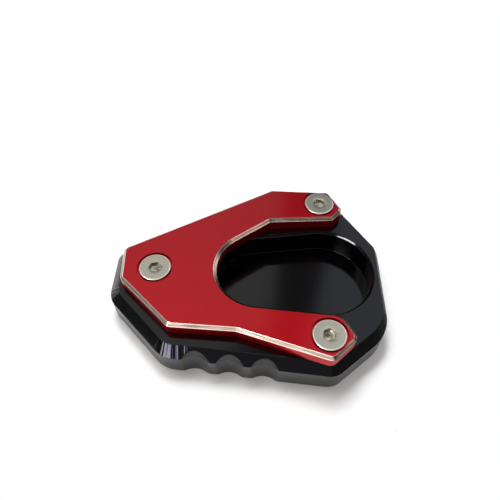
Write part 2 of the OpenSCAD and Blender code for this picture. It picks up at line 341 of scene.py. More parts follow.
@dataclass
class Shell:
    """Triangles gathered from several surfaces, then welded into one closed mesh.

    Attributes:
        corners: Triangle corners in millimetres, one array per surface.
        maps: Pattern coordinates of those corners.
        bands: Material place of each triangle.
        levels: Whether each triangle belongs to a flat face.
        marks: Share of mill ridges and of painted rim highlights at the triangle corners.
    """

    corners: list[np.ndarray] = field(default_factory=list)
    maps: list[np.ndarray] = field(default_factory=list)
    bands: list[np.ndarray] = field(default_factory=list)
    levels: list[np.ndarray] = field(default_factory=list)
    marks: list[np.ndarray] = field(default_factory=list)

    def sheet(
        self,
        points: np.ndarray,
        uv: np.ndarray,
        band: np.ndarray | int = Band.FACE.value,
        mark: np.ndarray | None = None,
    ) -> None:
        """Adds a surface on a grid of two parameters that closes on itself along the second.

        Each square between neighbouring rows and columns becomes two triangles. Rows that rise
        with columns against the clock face outwards.

        Args:
            points: Rows of closed rings, as rows by columns by 3.
            uv: Pattern coordinates as rows by columns plus one by 2, in millimetres.
            band: Material place of each row of squares, or one for all.
            mark: Share of mill ridges and painted rim highlights as rows by columns, or none.
        """
        rows, columns = points.shape[:2]
        wrapped = np.concatenate([points, points[:, :1]], axis=1)
        marks = np.zeros((rows, columns)) if mark is None else mark
        marks = np.concatenate([marks, marks[:, :1]], axis=1)[..., None]
        squares = [
            (a[:-1, :-1], a[:-1, 1:], a[1:, 1:], a[1:, :-1]) for a in (wrapped, uv, marks)
        ]
        for store, (a, b, c, d) in zip((self.corners, self.maps, self.marks), squares):
            store.append(np.stack([a, b, c], 2).reshape(-1, 3, a.shape[-1]))
            store.append(np.stack([a, c, d], 2).reshape(-1, 3, a.shape[-1]))
        strip = np.broadcast_to(np.asarray(band), (rows - 1,))
        self.bands += [np.repeat(strip, columns)] * 2
        self.levels.append(np.zeros(2 * (rows - 1) * columns, bool))

    def flat(self, loops: list[np.ndarray], height: float, facing: Facing) -> None:
        """Adds a flat face inside an odd number of loops, by a constrained triangulation.

        The triangulation works in single precision, so the test of what lies inside does too.

        Args:
            loops: The outer loop and those of its holes.
            height: Height of the face.
            facing: Which way it looks.
        """
        points = np.concatenate(loops)
        single = [loop.astype(np.float32).astype(float) for loop in loops]
        edges, first = [], 0
        for loop in loops:
            count = len(loop)
            edges += [(first + i, first + (i + 1) % count) for i in range(count)]
            first += count
        found = delaunay_2d_cdt([Vector(p) for p in points], edges, [], 0, TRIANGLE_GAP)
        faces, origins = found[2:4]
        triangles = np.array([origin[0] for origin in origins])[np.array(faces)]
        triangles = triangles[inside_loops(np.concatenate(single)[triangles].mean(1), single)]
        plane = points[triangles]
        turn = cross(plane[:, 1] - plane[:, 0], plane[:, 2] - plane[:, 0])
        wrong = turn * facing.value < 0
        plane[wrong] = plane[wrong][:, ::-1]
        self.corners.append(np.concatenate([plane, np.full(plane.shape[:2] + (1,), height)], 2))
        self.maps.append(plane)
        self.bands.append(np.full(len(plane), Band.FACE.value))
        self.levels.append(np.ones(len(plane), bool))
        self.marks.append(np.zeros((len(plane), 3, 1)))

    def mesh(self, name: str) -> bpy.types.Mesh:
        """Welds the corners that share a place and writes the mesh in metres.

        Args:
            name: Name of the mesh.

        Returns:
            The mesh, smooth apart from its sharp edges.
        """
        corners, uv = np.concatenate(self.corners), np.concatenate(self.maps)
        band, level = np.concatenate(self.bands), np.concatenate(self.levels)
        keys = np.round(corners.reshape(-1, 3), WELD_DIGITS)
        _, first, index = np.unique(keys, axis=0, return_index=True, return_inverse=True)
        triangles = index.reshape(-1, 3)
        a, b, c = triangles.T
        whole = (a != b) & (b != c) & (a != c)
        mesh = bpy.data.meshes.new(name)
        mesh.from_pydata(corners.reshape(-1, 3)[first] * MM, [], triangles[whole])
        layer = mesh.uv_layers.new(name=PATTERN_MAP)
        layer.data.foreach_set("uv", uv[whole].astype(np.float32).ravel())
        marks = np.concatenate(self.marks)[whole].astype(np.float32)
        mesh.attributes.new(RIDGES_AND_HIGHLIGHT, "FLOAT", "CORNER").data.foreach_set("value", marks.ravel())
        mesh.polygons.foreach_set("material_index", band[whole].astype(np.int32))
        mesh.polygons.foreach_set("use_smooth", ~level[whole])
        soften(mesh)
        return mesh


def soften(mesh: bpy.types.Mesh) -> None:
    """Marks the edges of a mesh sharp above one angle."""
    mesh.set_sharp_from_angle(angle=radians(SHARP_ANGLE))
    mesh.update()


def loft(outline: Outline | Belt, section: np.ndarray) -> np.ndarray:
    """Rings of an outline along a section: each row is the outline at that row's distance.

    Args:
        outline: The outline to carry.
        section: Rows of distance and height.

    Returns:
        Points as rows by columns by 3.
    """
    rings = [outline.at(distance) for distance, _ in section]
    heights = np.broadcast_to(section[:, 1, None], (len(section), len(rings[0])))
    return np.concatenate([np.stack(rings), heights[..., None]], axis=2)


def surface_map(points: np.ndarray) -> np.ndarray:
    """Pattern coordinates of a sheet: length along the middle ring, and length down the section.

    Args:
        points: Rows of closed rings.

    Returns:
        Coordinates in millimetres, as rows by columns plus one by 2.
    """
    wrapped = np.concatenate([points, points[:, :1]], axis=1)
    middle = wrapped[len(points) // 2]
    along = np.concatenate([[0], np.linalg.norm(np.diff(middle, axis=0), axis=1).cumsum()])
    down = np.concatenate([[0], np.linalg.norm(np.diff(wrapped[:, 0], axis=0), axis=1).cumsum()])
    return np.stack(np.meshgrid(along, down), axis=2)


def turned(centre: np.ndarray, section: np.ndarray, count: int) -> np.ndarray:
    """Surface of revolution: each row of the section is a circle of that radius and height.

    Args:
        centre: Place of the axis.
        section: Rows of radius and height.
        count: Points round the axis.

    Returns:
        Points as rows by columns by 3.
    """
    angle = 2 * pi * np.arange(count) / count
    radius, height = section[:, :1], section[:, 1:]
    x, y = centre[0] + radius * np.cos(angle), centre[1] + radius * np.sin(angle)
    return np.stack([x, y, np.broadcast_to(height, x.shape)], axis=2)


def place(name: str, mesh: bpy.types.Mesh, *materials: Material) -> Piece:
    """Puts a mesh into the scene with its materials.

    Args:
        name: Name of the piece.
        mesh: Its mesh, already in place.
        *materials: Its materials, in the order of their places.

    Returns:
        The new object, at the origin.
    """
    piece = bpy.data.objects.new(name, mesh)
    bpy.context.scene.collection.objects.link(piece)
    for material in materials:
        mesh.materials.append(material)
    return piece


def declare(piece: Piece, node: str) -> None:
    """Hangs a piece under the root, hides the solid that it stands for and logs its triangles.

    Args:
        piece: The finished piece.
        node: The solid's node.
    """
    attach(piece, "root")
    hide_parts(node)
    LOG.info("%s: %d triangles", piece.name, len(piece.data.polygons))


# Finishes


def linear(colour: str) -> tuple[float, float, float, float]:
    """Turns an sRGB hex value into linear red, green, blue and alpha, by the standard's curve.

    Args:
        colour: The hex value, with its hash sign.

    Returns:
        The linear colour, wholly opaque.
    """
    parts = np.array([int(colour[i : i + 2], 16) for i in (1, 3, 5)]) / 255
    rgb = np.where(parts <= 0.04045, parts / 12.92, ((parts + 0.055) / 1.055) ** 2.4)
    return (*(float(c) for c in rgb), 1.0)


def add_node(
    tree: Tree, kind: str, settings: dict[str, str] | None = None, **inputs: object
) -> bpy.types.Node:
    """Adds a node to a tree with its settings, socket values and links.

    Args:
        tree: The node tree.
        kind: Blender's name of the node type.
        settings: Attributes of the node.
        **inputs: Socket values or sockets to link from, with underscores for spaces. A name such
            as i0 means the socket of that number.

    Returns:
        The new node.
    """
    new = tree.nodes.new(kind)
    for key, value in (settings or {}).items():
        setattr(new, key, value)
    for key, value in inputs.items():
        numbered = key[0] == "i" and key[1:].isdigit()
        socket = new.inputs[int(key[1:]) if numbered else key.replace("_", " ")]
        if isinstance(value, Socket):
            tree.links.new(value, socket)
        else:
            socket.default_value = value
    return new


def new_material(name: str) -> tuple[Material, Tree]:
    """Makes an empty node material.

    Args:
        name: Name of the material.

    Returns:
        The material and its tree.
    """
    material = bpy.data.materials.new(name)
    material.use_nodes = True
    material.node_tree.nodes.clear()
    return material, material.node_tree


def blend_colours(tree: Tree, share: Socket, low: Socket | str, high: str) -> Socket:
    """Mixes two colours by a share. Sockets 6 and 7 of the node are its two colours.

    Args:
        tree: The node tree.
        share: Socket of the second colour's share.
        low: First colour, as an sRGB hex value or a socket.
        high: Second colour, as an sRGB hex value.

    Returns:
        The socket of the mixed colour.
    """
    start = linear(low) if isinstance(low, str) else low
    kind = {"data_type": "RGBA"}
    return add_node(tree, "ShaderNodeMix", kind, i0=share, i6=start, i7=linear(high)).outputs[2]


def tool_lines(tree: Tree, along: float, down: float, detail: float) -> Socket:
    """Noise on the pattern coordinates, drawn out into the lines that a tool leaves.

    Args:
        tree: The node tree.
        along: Size of the pattern along the rings, in millimetres.
        down: Its size down the section, in millimetres.
        detail: Octaves of the noise.

    Returns:
        The noise's socket, one half on average.
    """
    uv = add_node(tree, "ShaderNodeUVMap", {"uv_map": PATTERN_MAP}).outputs["UV"]
    scale = (1 / along, 1 / down, 1.0)
    drawn = add_node(tree, "ShaderNodeMapping", Vector=uv, Scale=scale).outputs["Vector"]
    noise = add_node(tree, "ShaderNodeTexNoise", Vector=drawn, Scale=1.0, Detail=detail)
    return noise.outputs["Fac"]


def ridge_and_highlight_share(tree: Tree) -> Socket:
    """Share of mill ridges and of painted rim highlights at each place on the surface."""
    return add_node(tree, "ShaderNodeAttribute", {"attribute_name": RIDGES_AND_HIGHLIGHT}).outputs["Fac"]


@dataclass(frozen=True)
class AnodicFace:
    """What every anodised face shares: patches in the dye and the etched grain of the layer.

    A real etch leaves grain of some hundredths of a millimetre. It is drawn coarser, so that the
    face still breaks the light a little at the picture's scale.

    Attributes:
        colour: Colour of the dyed layer.
        shade: Its darker patches, where the dye took more.
        patch: Size of a patch in millimetres.
        grain: Size of the etched grain in millimetres.
        relief: Height of that grain in millimetres.
    """

    colour: str
    shade: str
    patch: float = 14.0
    grain: float = 0.25
    relief: float = 0.002

    def dye(self, tree: Tree, place_m: Socket) -> Socket:
        """Colour of the dye, which takes a little unevenly over the face.

        Args:
            tree: The node tree.
            place_m: Socket of the place on the object, in metres.

        Returns:
            The colour's socket.
        """
        scale = 1 / (self.patch * MM)
        patches = add_node(tree, "ShaderNodeTexNoise", Vector=place_m, Scale=scale, Detail=2.0)
        return blend_colours(tree, patches.outputs["Fac"], self.shade, self.colour)

    def etched(self, tree: Tree, place_m: Socket) -> Socket:
        """Normal of the face with its etched grain.

        Args:
            tree: The node tree.
            place_m: Socket of the place on the object, in metres.

        Returns:
            The normal's socket.
        """
        scale = 1 / (self.grain * MM)
        grain = add_node(tree, "ShaderNodeTexNoise", Vector=place_m, Scale=scale, Detail=2.0)
        height, relief = grain.outputs["Fac"], self.relief * MM
        bump = add_node(tree, "ShaderNodeBump", Strength=0.5, Distance=relief, Height=height)
        return bump.outputs["Normal"]


@dataclass(frozen=True)
class BlackAnodised:
    """Aluminium, milled smooth and anodised black.

    The dye fills the layer, so nothing of the metal shows: a near-black face whose only light is
    the clear, slightly soft reflection on the sealed layer. Round the sloping corners the mill has
    left ridges across the slope, which flash in the light one by one. Real ridges are some tenths
    of a millimetre apart, too fine to show here, so they are drawn coarser and higher.

    Attributes:
        name: Name of the material.
        face: Dye and grain.
        roughness: Spread of the reflections.
        index: Refractive index of what covers the face: the sealing wax, or the bare sealed oxide.
        chatter: Height of a mill ridge in millimetres.
        ridge: Distance between mill ridges in millimetres.
        ridge_length: Length over which a ridge stays the same, in millimetres.
    """

    name: str
    face: AnodicFace
    roughness: float
    index: float
    chatter: float = 0.32
    ridge: float = 1.2
    ridge_length: float = 60.0

    def build(self) -> Material:
        """Makes the material: the ridges are noise about its mean, times the share of tool marks.

        Returns:
            The material.
        """
        material, tree = new_material(self.name)
        place_m = add_node(tree, "ShaderNodeTexCoord").outputs["Object"]
        waves = tool_lines(tree, self.ridge, self.ridge_length, 1.5)
        swing = add_node(tree, "ShaderNodeMath", {"operation": "SUBTRACT"}, i0=waves, i1=0.5)
        ridge = add_node(
            tree, "ShaderNodeMath", {"operation": "MULTIPLY"},
            i0=swing.outputs["Value"], i1=ridge_and_highlight_share(tree),
        )
        milled = add_node(
            tree, "ShaderNodeBump", Strength=1.0, Distance=self.chatter * MM,
            Height=ridge.outputs["Value"], Normal=self.face.etched(tree, place_m),
        )
        shader = add_node(
            tree, "ShaderNodeBsdfPrincipled", Metallic=0.0, Roughness=self.roughness,
            IOR=self.index, Base_Color=self.face.dye(tree, place_m),
            Normal=milled.outputs["Normal"],
        )
        add_node(tree, "ShaderNodeOutputMaterial", Surface=shader.outputs["BSDF"])
        return material


@dataclass(frozen=True)
class DyedAnodised:
    """Aluminium, fine blasted and anodised in a see-through dye.

    The metal shines softly through the dye, so the face is an even satin red, with a faint clear
    reflection of the sealed layer on top.

    Attributes:
        name: Name of the material.
        face: Dye and grain.
        roughness: Spread of the metal's own shine under the layer.
        seal: Spread of the reflections on the layer.
        film: Share of the face that the layer's own shine covers.
        index: Refractive index of the layer.
    """

    name: str
    face: AnodicFace
    roughness: float
    seal: float
    film: float
    index: float = 1.5

    def build(self) -> Material:
        """Makes the material: dyed metal under a clear coat that alone carries the grain.

        Returns:
            The material.
        """
        material, tree = new_material(self.name)
        place_m = add_node(tree, "ShaderNodeTexCoord").outputs["Object"]
        shader = add_node(
            tree, "ShaderNodeBsdfPrincipled", Metallic=1.0, Roughness=self.roughness,
            Coat_Weight=self.film, Coat_IOR=self.index, Coat_Roughness=self.seal,
            Base_Color=self.face.dye(tree, place_m), Coat_Normal=self.face.etched(tree, place_m),
        )
        add_node(tree, "ShaderNodeOutputMaterial", Surface=shader.outputs["BSDF"])
        return material


@dataclass(frozen=True)
class CutAluminium:
    """Bare aluminium, cut bright with a chamfer mill after the anodising.

    The mill leaves fine lines along the edge, so the band's shine breaks into streaks that run
    with it. Both of its rims are painted paler, a painted highlight for the light that their
    eased edges catch. Real lines are some hundredths of a millimetre wide, too fine to show
    here, so they are drawn coarser.

    Attributes:
        name: Name of the material.
        colour: Colour of the bright lines.
        shade: Colour of the dull lines.
        roughness: Spread of the reflections.
        streak: Length of a streak in millimetres.
        line: Width of a mill line in millimetres.
        relief: Height of a mill line in millimetres.
        dull: Level of the line pattern up to which the metal is wholly dull.
        clear: Level of the line pattern from which it is wholly bright.
        swing: Share by which the spread differs from line to line.
    """

    name: str
    colour: str
    shade: str
    roughness: float
    streak: float = 9.0
    line: float = 0.22
    relief: float = 0.01
    dull: float = 0.45
    clear: float = 0.8
    swing: float = 0.3

    def build(self) -> Material:
        """Makes the material: bright where the line pattern or the painted rim highlight is high.

        Returns:
            The material.
        """
        material, tree = new_material(self.name)
        lines = tool_lines(tree, self.streak, self.line, 3.0)
        bare = add_node(
            tree, "ShaderNodeMapRange", Value=lines, From_Min=self.dull, From_Max=self.clear
        )
        # Painted highlight: the rims' share pales the colour, as the bright lines do
        bright = add_node(
            tree, "ShaderNodeMath", {"operation": "MAXIMUM"},
            i0=bare.outputs["Result"], i1=ridge_and_highlight_share(tree),
        )
        spread = add_node(
            tree, "ShaderNodeMapRange", Value=lines,
            To_Min=self.roughness * (1 - self.swing), To_Max=self.roughness * (1 + self.swing),
        )
        relief = self.relief * MM
        bump = add_node(tree, "ShaderNodeBump", Strength=0.4, Distance=relief, Height=lines)
        shader = add_node(
            tree, "ShaderNodeBsdfPrincipled", Metallic=1.0,
            Base_Color=blend_colours(tree, bright.outputs["Value"], self.shade, self.colour),
            Roughness=spread.outputs["Result"], Normal=bump.outputs["Normal"],
        )
        add_node(tree, "ShaderNodeOutputMaterial", Surface=shader.outputs["BSDF"])
        return material


@dataclass(frozen=True)
class TurnedSteel:
    """Stainless steel, cold headed and turned.

    The tool leaves rings about the screw's axis, so the head is a plain pale grey with faint
    circles in it. Its rounded rim is painted paler, a painted highlight for the light that the
    rim catches. Real rings are under a tenth of a millimetre wide, too fine to show here, so
    they are drawn coarser.

    Attributes:
        name: Name of the material.
        colour: Colour of the steel.
        shade: Its duller rings.
        roughness: Spread of the reflections.
        ring: Width of a turned ring in millimetres.
        ring_length: Length over which a ring stays the same, in millimetres.
        relief: Height of a ring in millimetres.
        rim: Colour of the painted highlight on the rounded rim.
    """

    name: str
    colour: str
    shade: str
    roughness: float
    ring: float = 0.35
    ring_length: float = 40.0
    relief: float = 0.008
    rim: str = "#FBF3E6"

    def build(self) -> Material:
        """Makes the material: ringed steel, mixed with the rim's painted highlight colour by its
        share.

        Returns:
            The material.
        """
        material, tree = new_material(self.name)
        rings, relief = tool_lines(tree, self.ring_length, self.ring, 2.0), self.relief * MM
        bump = add_node(tree, "ShaderNodeBump", Strength=0.5, Distance=relief, Height=rings)
        ringed = blend_colours(tree, rings, self.shade, self.colour)
        # Painted highlight: the rim's share mixes in the pale rim colour
        shader = add_node(
            tree, "ShaderNodeBsdfPrincipled", Metallic=1.0, Roughness=self.roughness,
            Base_Color=blend_colours(tree, ridge_and_highlight_share(tree), ringed, self.rim),
            Normal=bump.outputs["Normal"],
        )
        add_node(tree, "ShaderNodeOutputMaterial", Surface=shader.outputs["BSDF"])
        return material


# Sub-assemblies


@dataclass
class ThreadForm:
    """A metric screw thread.

    Attributes:
        radius: Radius at the crests.
        pitch: Rise of one turn.
        depth: Depth of the groove.
        stretch: Factor on the groove's wave, which is cut off flat at the root.
        crest: Share of the depth taken off the wave, which leaves the crest flat.
        columns: Points round the axis.
        rows_per_turn: Rows in one turn's height.
    """

    radius: float = 3.0
    pitch: float = 1.0
    depth: float = 0.5
    stretch: float = 1.15
    crest: float = 0.08
    columns: int = 64
    rows_per_turn: int = 10

    def groove(self, height: np.ndarray, angle: np.ndarray) -> np.ndarray:
        """Groove depth: a triangle wave of the height less the turn's share of the pitch.

        The wave is stretched, lowered and kept between nothing and the whole depth.

        Args:
            height: Heights.
            angle: Angles in radians.

        Returns:
            Depth of the groove at each height and angle.
        """
        phase = (height / self.pitch - angle / (2 * pi)) % 1
        return self.depth * np.clip(self.stretch * np.abs(2 * phase - 1) - self.crest, 0, 1)

    def surface(
        self,
        centre: np.ndarray,
        low: float,
        high: float,
        gap: float,
        fade: float,
        way: Groove = Groove.INWARDS,
    ) -> np.ndarray:
        """Threaded surface on a grid of height and angle: radius less or plus the groove at both.

        Args:
            centre: Place of the axis.
            low: Lowest height.
            high: Highest height.
            gap: Added to the radius.
            fade: Height over which the groove runs out at each end.
            way: Which way the groove goes.

        Returns:
            Points as rows by columns by 3.
        """
        rows = int((high - low) / self.pitch * self.rows_per_turn)
        height = np.linspace(low, high, rows)[:, None]
        angle = 2 * pi * np.arange(self.columns)[None] / self.columns
        run_out = np.clip(np.minimum(height - low, high - height) / fade, 0, 1)
        radius = self.radius + gap + way.value * self.groove(height, angle) * run_out
        x, y = centre[0] + radius * np.cos(angle), centre[1] + radius * np.sin(angle)
        return np.stack([x, y, np.broadcast_to(height, x.shape)], axis=2)


@dataclass
class Screw:
    """Countersunk screw with a hexagon socket.

    Attributes:
        node: The solid it stands for.
        centre: Place of its axis.
        head_top: Height of the head's top face.
        length: Length over all.
        head_r: Radius of the head.
        rim: Height of the head's upright rim.
        rim_ease: Rounding of the rim's upper edge.
        cone_ease: Rounding between the head's cone and its rim.
        neck: Height of the plain neck under the cone.
        neck_ease: Rounding between neck and cone.
        top_rings: Distances from the rim of the rings that divide the head's top face.
        rim_highlight: Width of the painted highlight band at the rim, over the rim's rounding.
        tip_break: Edge break at the tip.
        tip_in: How far inside the crests the tip's edge break ends.
        tip_rise: Height at which it ends.
        thread_start: Height of the thread's start above the tip.
        thread_end: How far under the cone the thread ends.
        run_out: Height over which the thread runs out.
        socket_w: Width of the socket across its flats.
        socket_depth: Depth of the socket.
        socket_turn: Turn of the socket in degrees.
        socket_ease: Radius of the socket's eased corners, over half its width.
        mouth: Eased mouth of the socket, as factors on its size and depths.
        drill: Drill cone under the socket, as radii and depths over half the socket's width.
        thread: Form of the thread.
    """

    node: str
    centre: np.ndarray
    head_top: float
    length: float = 16.0
    head_r: float = 5.6
    rim: float = 0.42
    rim_ease: float = 0.3
    cone_ease: float = 0.05
    neck: float = 0.1
    neck_ease: float = 0.3
    top_rings: tuple[float, float, float] = (0.6, 1.2, 2.2)
    rim_highlight: float = 1.5
    tip_break: float = 0.6
    tip_in: float = 0.45
    tip_rise: float = 0.15
    thread_start: float = 0.16
    thread_end: float = 0.2
    run_out: float = 0.9
    socket_w: float = 4.0
    socket_depth: float = 2.0
    socket_turn: float = 0.0
    socket_ease: float = 1.13
    mouth: tuple[tuple[float, float], ...] = ((1.07, 0.0), (1.03, 0.03), (1.0, 0.12))
    drill: tuple[tuple[float, float], ...] = ((0.98, 0.0), (0.5, 0.25), (0.0, 0.5))
    thread: ThreadForm = field(default_factory=lambda: ThreadForm(columns=192))

    def hexagon(self, angle: np.ndarray, scale: float) -> np.ndarray:
        """Radius of a hexagon with slightly eased corners at each angle.

        It is half the width over the cosine of the angle from the nearest flat's middle, and at
        most that of the eased corners.

        Args:
            angle: Angles in radians.
            scale: Factor on the hexagon's size.

        Returns:
            Radii.
        """
        side = (angle - radians(self.socket_turn)) % (pi / 3) - pi / 6
        sharp = self.socket_w / 2 / np.cos(side)
        return scale * np.minimum(sharp, self.socket_w / 2 * self.socket_ease)

    def build_shell(self) -> Shell:
        """Works out the screw as rings from the tip's middle, up the thread and over the head.

        Rings of the socket follow the hexagon's radius, and all others a circle.

        Returns:
            The closed shell.
        """
        thread, columns = self.thread, self.thread.columns
        tip, cone_top = self.head_top - self.length, self.head_top - self.rim
        cone_foot = cone_top - (self.head_r - thread.radius)
        foot = np.array([
            [0, tip],
            [thread.radius - self.tip_break, tip],
            [thread.radius - self.tip_in, tip + self.tip_rise],
        ])
        low, high = tip + self.thread_start, cone_foot - self.thread_end
        head = eased([
            (thread.radius, cone_foot - self.neck, 0),
            (thread.radius, cone_foot, self.neck_ease),
            (self.head_r, cone_top, self.cone_ease),
            (self.head_r, self.head_top, self.rim_ease),
            (self.head_r - self.top_rings[0], self.head_top, 0),
        ])
        dish = np.array([[self.head_r - ring, self.head_top] for ring in self.top_rings[1:]])
        rows = np.concatenate([
            turned(self.centre, foot, columns),
            thread.surface(self.centre, low, high, 0, self.run_out),
            turned(self.centre, np.concatenate([head, dish]), columns),
            self.socket_mouth(2 * pi * np.arange(columns) / columns),
        ])
        # Painted highlight: the top of the rounded rim takes a paler colour
        distance = np.linalg.norm(rows[..., :2] - self.centre, axis=2)
        outer = distance > self.head_r - self.rim_highlight * self.rim_ease
        painted_rim = outer & (rows[..., 2] > self.head_top - self.rim_ease)
        shell = Shell()
        shell.sheet(rows, self.ring_map(rows), mark=painted_rim.astype(float))
        return shell

    def socket_mouth(self, angle: np.ndarray) -> np.ndarray:
        """Rings of the socket: a hexagon with an eased mouth, a drill cone and its point.

        Args:
            angle: Angles in radians.

        Returns:
            Points as rows by columns by 3.
        """
        floor = self.head_top - self.socket_depth
        steps = [(scale, self.head_top - depth) for scale, depth in self.mouth] + [(1.0, floor)]
        walls = np.stack([self.hexagon(angle, scale) for scale, _ in steps])
        cone = np.array(self.drill) * self.socket_w / 2
        radius = np.concatenate([walls, np.broadcast_to(cone[:, :1], (len(cone), len(angle)))])
        height = np.concatenate([[h for _, h in steps], floor - cone[:, 1]])[:, None]
        x, y = self.centre[0] + radius * np.cos(angle), self.centre[1] + radius * np.sin(angle)
        return np.stack([x, y, np.broadcast_to(height, x.shape)], axis=2)

    def ring_map(self, rows: np.ndarray) -> np.ndarray:
        """Pattern coordinates: length round the axis at the head's radius, and down the section.

        Args:
            rows: Rings of the screw.

        Returns:
            Coordinates in millimetres, as rows by columns plus one by 2.
        """
        around = np.linspace(0, 2 * pi * self.head_r, rows.shape[1] + 1)
        step = np.linalg.norm(np.diff(rows[:, 0], axis=0), axis=1)
        down = np.concatenate([[0], step.cumsum()])
        return np.stack(np.meshgrid(around, down), axis=2)

    def build(self, steel: Material) -> Piece:
        """Builds and dresses the screw.

        Args:
            steel: Its finish.

        Returns:
            The finished piece.
        """
        name = f"{self.node}_steel"
        piece = place(name, self.build_shell().mesh(name), steel)
        declare(piece, self.node)
        return piece


@dataclass
class ScrewPlaces:
    """Places of the three screws, worked out from the solids.

    Attributes:
        left: Axis of the screw at the left end.
        back: Axis of the screw in the back arm.
        front: Axis of the screw in the front arm.
    """

    left: np.ndarray = field(init=False)
    back: np.ndarray = field(init=False)
    front: np.ndarray = field(init=False)

    def __post_init__(self) -> None:
        """Reads each screw's box."""
        for side in ("left", "back", "front"):
            low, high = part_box(f"screw_{side}")
            setattr(self, side, np.array([(low.x + high.x) / 2, (low.y + high.y) / 2]) / MM)

    def all(self) -> list[np.ndarray]:
        """The three places in a list."""
        return [self.left, self.back, self.front]


@dataclass
class BasePlate:
    """Black base plate with a sloping border, scallops, a foot pocket and threaded holes.

    Attributes:
        screws: Places of the screws.
        width: Left edge to right edge.
        depth: Back edge to the lowest point of the front.
        thick: Thickness.
        left_back: Back end of the left edge.
        left_front: Front end of the left edge.
        back_left: Left end of the back edge.
        back_right: Right end of the back edge.
        right_back: Back end of the right edge.
        front_right_x: Right end of the scalloped front edge.
        front_length: Length of the scalloped front edge.
        front_angle: Its angle to the left-right line, in degrees.
        slant_angle: Angle of the slanting edge at the front right, in degrees.
        left_back_r: Rounding of the corner at the back of the left edge.
        left_front_r: Rounding of the corner at the front of the left edge.
        back_r: Rounding of the corners at the back edge and at the back of the right edge.
        right_front_r: Rounding of the corner at the front of the right edge.
        front_right_r: Rounding of the right end of the front edge.
        front_left_r: Rounding of the left end of the front edge.
        slope_h: Height of the sloping border.
        slope_w: How far the border draws in.
        left_slope_w: How far it draws in at the left edge.
        right_slope_w: How far it draws in at the right edge.
        slope_eases: Roundings at the border's foot and top.
        foot_break: Edge break round the underside.
        foot_eases: Roundings at that break's foot and top.
        scallop_count: Number of scallops in the front edge.
        scallop_r: Radius of a scallop.
        scallop_depth: Depth of a scallop at the top of the upright wall.
        scallop_pitch: Distance from one scallop to the next.
        scallop_first: Distance of the first scallop from the left end of the front edge.
        scallop_lean: Lean of the scallops in degrees, shallower towards the underside.
        land_ease: Rounding between a scallop and the land beside it.
        land_fade: How far from a scallop that rounding is still felt.
        pocket_depth: Depth of the pocket.
        pocket_r: Radius of its right end.
        pocket_wall: What is left between its right end and the right edge.
        pocket_y: Middle of its right end, towards the back.
        pocket_run: Distance between the middles of its ends, to the right.
        pocket_slant: Distance between the middles of its ends, towards the back.
        pocket_break: Edge break round its mouth.
        pocket_eases: Roundings at that break's foot and top.
        pocket_end_r: Radius of its left end.
        pocket_floor_r: Rounding between its wall and floor.
        ridge_run: How far the mill ridges of the left front corner run on along the front.
        ridge_fade: Length over which they fade out there.
        thread_gap: Clearance between a screw's thread and its hole.
        hole_break: Width and height of the edge break at a threaded hole's foot.
        hole_run_out: Height over which the hole's thread runs out.
        edge_pitch: Spacing of the points along the plain edges.
        front_pitch: Spacing along the scalloped edge, close enough to draw the scallops.
        wall_pitch: Spacing of the rows on the upright wall.
        slope_pitch: Spacing of the rows on the sloping border.
        slope_lead: How far under the border its close rows may start.
        flat_margin: Width of the flat rows that lead from an edge onto a flat face.
    """

    screws: ScrewPlaces
    width: float = 99.4
    depth: float = 79.1
    thick: float = 14.0
    left_back: float = 7.9
    left_front: float = -12.2
    back_left: float = 5.3
    back_right: float = 31.8
    right_back: float = 11.9
    front_right_x: float = 30.1
    front_length: float = 58.3
    front_angle: float = 5.3
    slant_angle: float = 40.1
    left_back_r: float = 5.0
    left_front_r: float = 9.0
    back_r: float = 5.0
    right_front_r: float = 17.0
    front_right_r: float = 7.0
    front_left_r: float = 11.0
    slope_h: float = 5.0
    slope_w: float = 2.8
    left_slope_w: float = 4.2
    right_slope_w: float = 2.3
    slope_eases: tuple[float, float] = (0.3, 0.12)
    foot_break: float = 0.4
    foot_eases: tuple[float, float] = (0.08, 0.25)
    scallop_count: int = 3
    scallop_r: float = 6.5
    scallop_depth: float = 1.8
    scallop_pitch: float = 11.7
    scallop_first: float = 11.3
    scallop_lean: float = 3.0
    land_ease: float = 0.3
    land_fade: float = 0.8
    pocket_depth: float = 10.0
    pocket_r: float = 18.1
    pocket_wall: float = 4.3
    pocket_y: float = -1.0
    pocket_run: float = 22.9
    pocket_slant: float = 2.7
    pocket_break: float = 0.7
    pocket_eases: tuple[float, float] = (0.1, 0.08)
    pocket_end_r: float = 17.5
    pocket_floor_r: float = 0.1
    ridge_run: float = 8.0
    ridge_fade: float = 3.0
    thread_gap: float = 0.05
    hole_break: tuple[float, float] = (0.6, 0.45)
    hole_run_out: float = 0.6
    edge_pitch: float = 6.0
    front_pitch: float = 0.14
    wall_pitch: float = 1.2
    slope_pitch: float = 0.17
    slope_lead: float = 0.4
    flat_margin: float = 0.3

    def front_ends(self) -> tuple[np.ndarray, np.ndarray]:
        """Works out the ends of the scalloped front edge, where its line meets the next ones.

        Returns:
            The left end and the right end.
        """
        to_left = np.array([-cos(radians(self.front_angle)), sin(radians(self.front_angle))])
        to_right = np.array([cos(radians(self.slant_angle)), sin(radians(self.slant_angle))])
        inward = unit(to_left + to_right) / sin(acos(float(to_left @ to_right)) / 2)
        low = self.front_right_r * (1 - inward[1]) - self.depth / 2
        right = np.array([self.front_right_x, low])
        return right + to_left * self.front_length, right

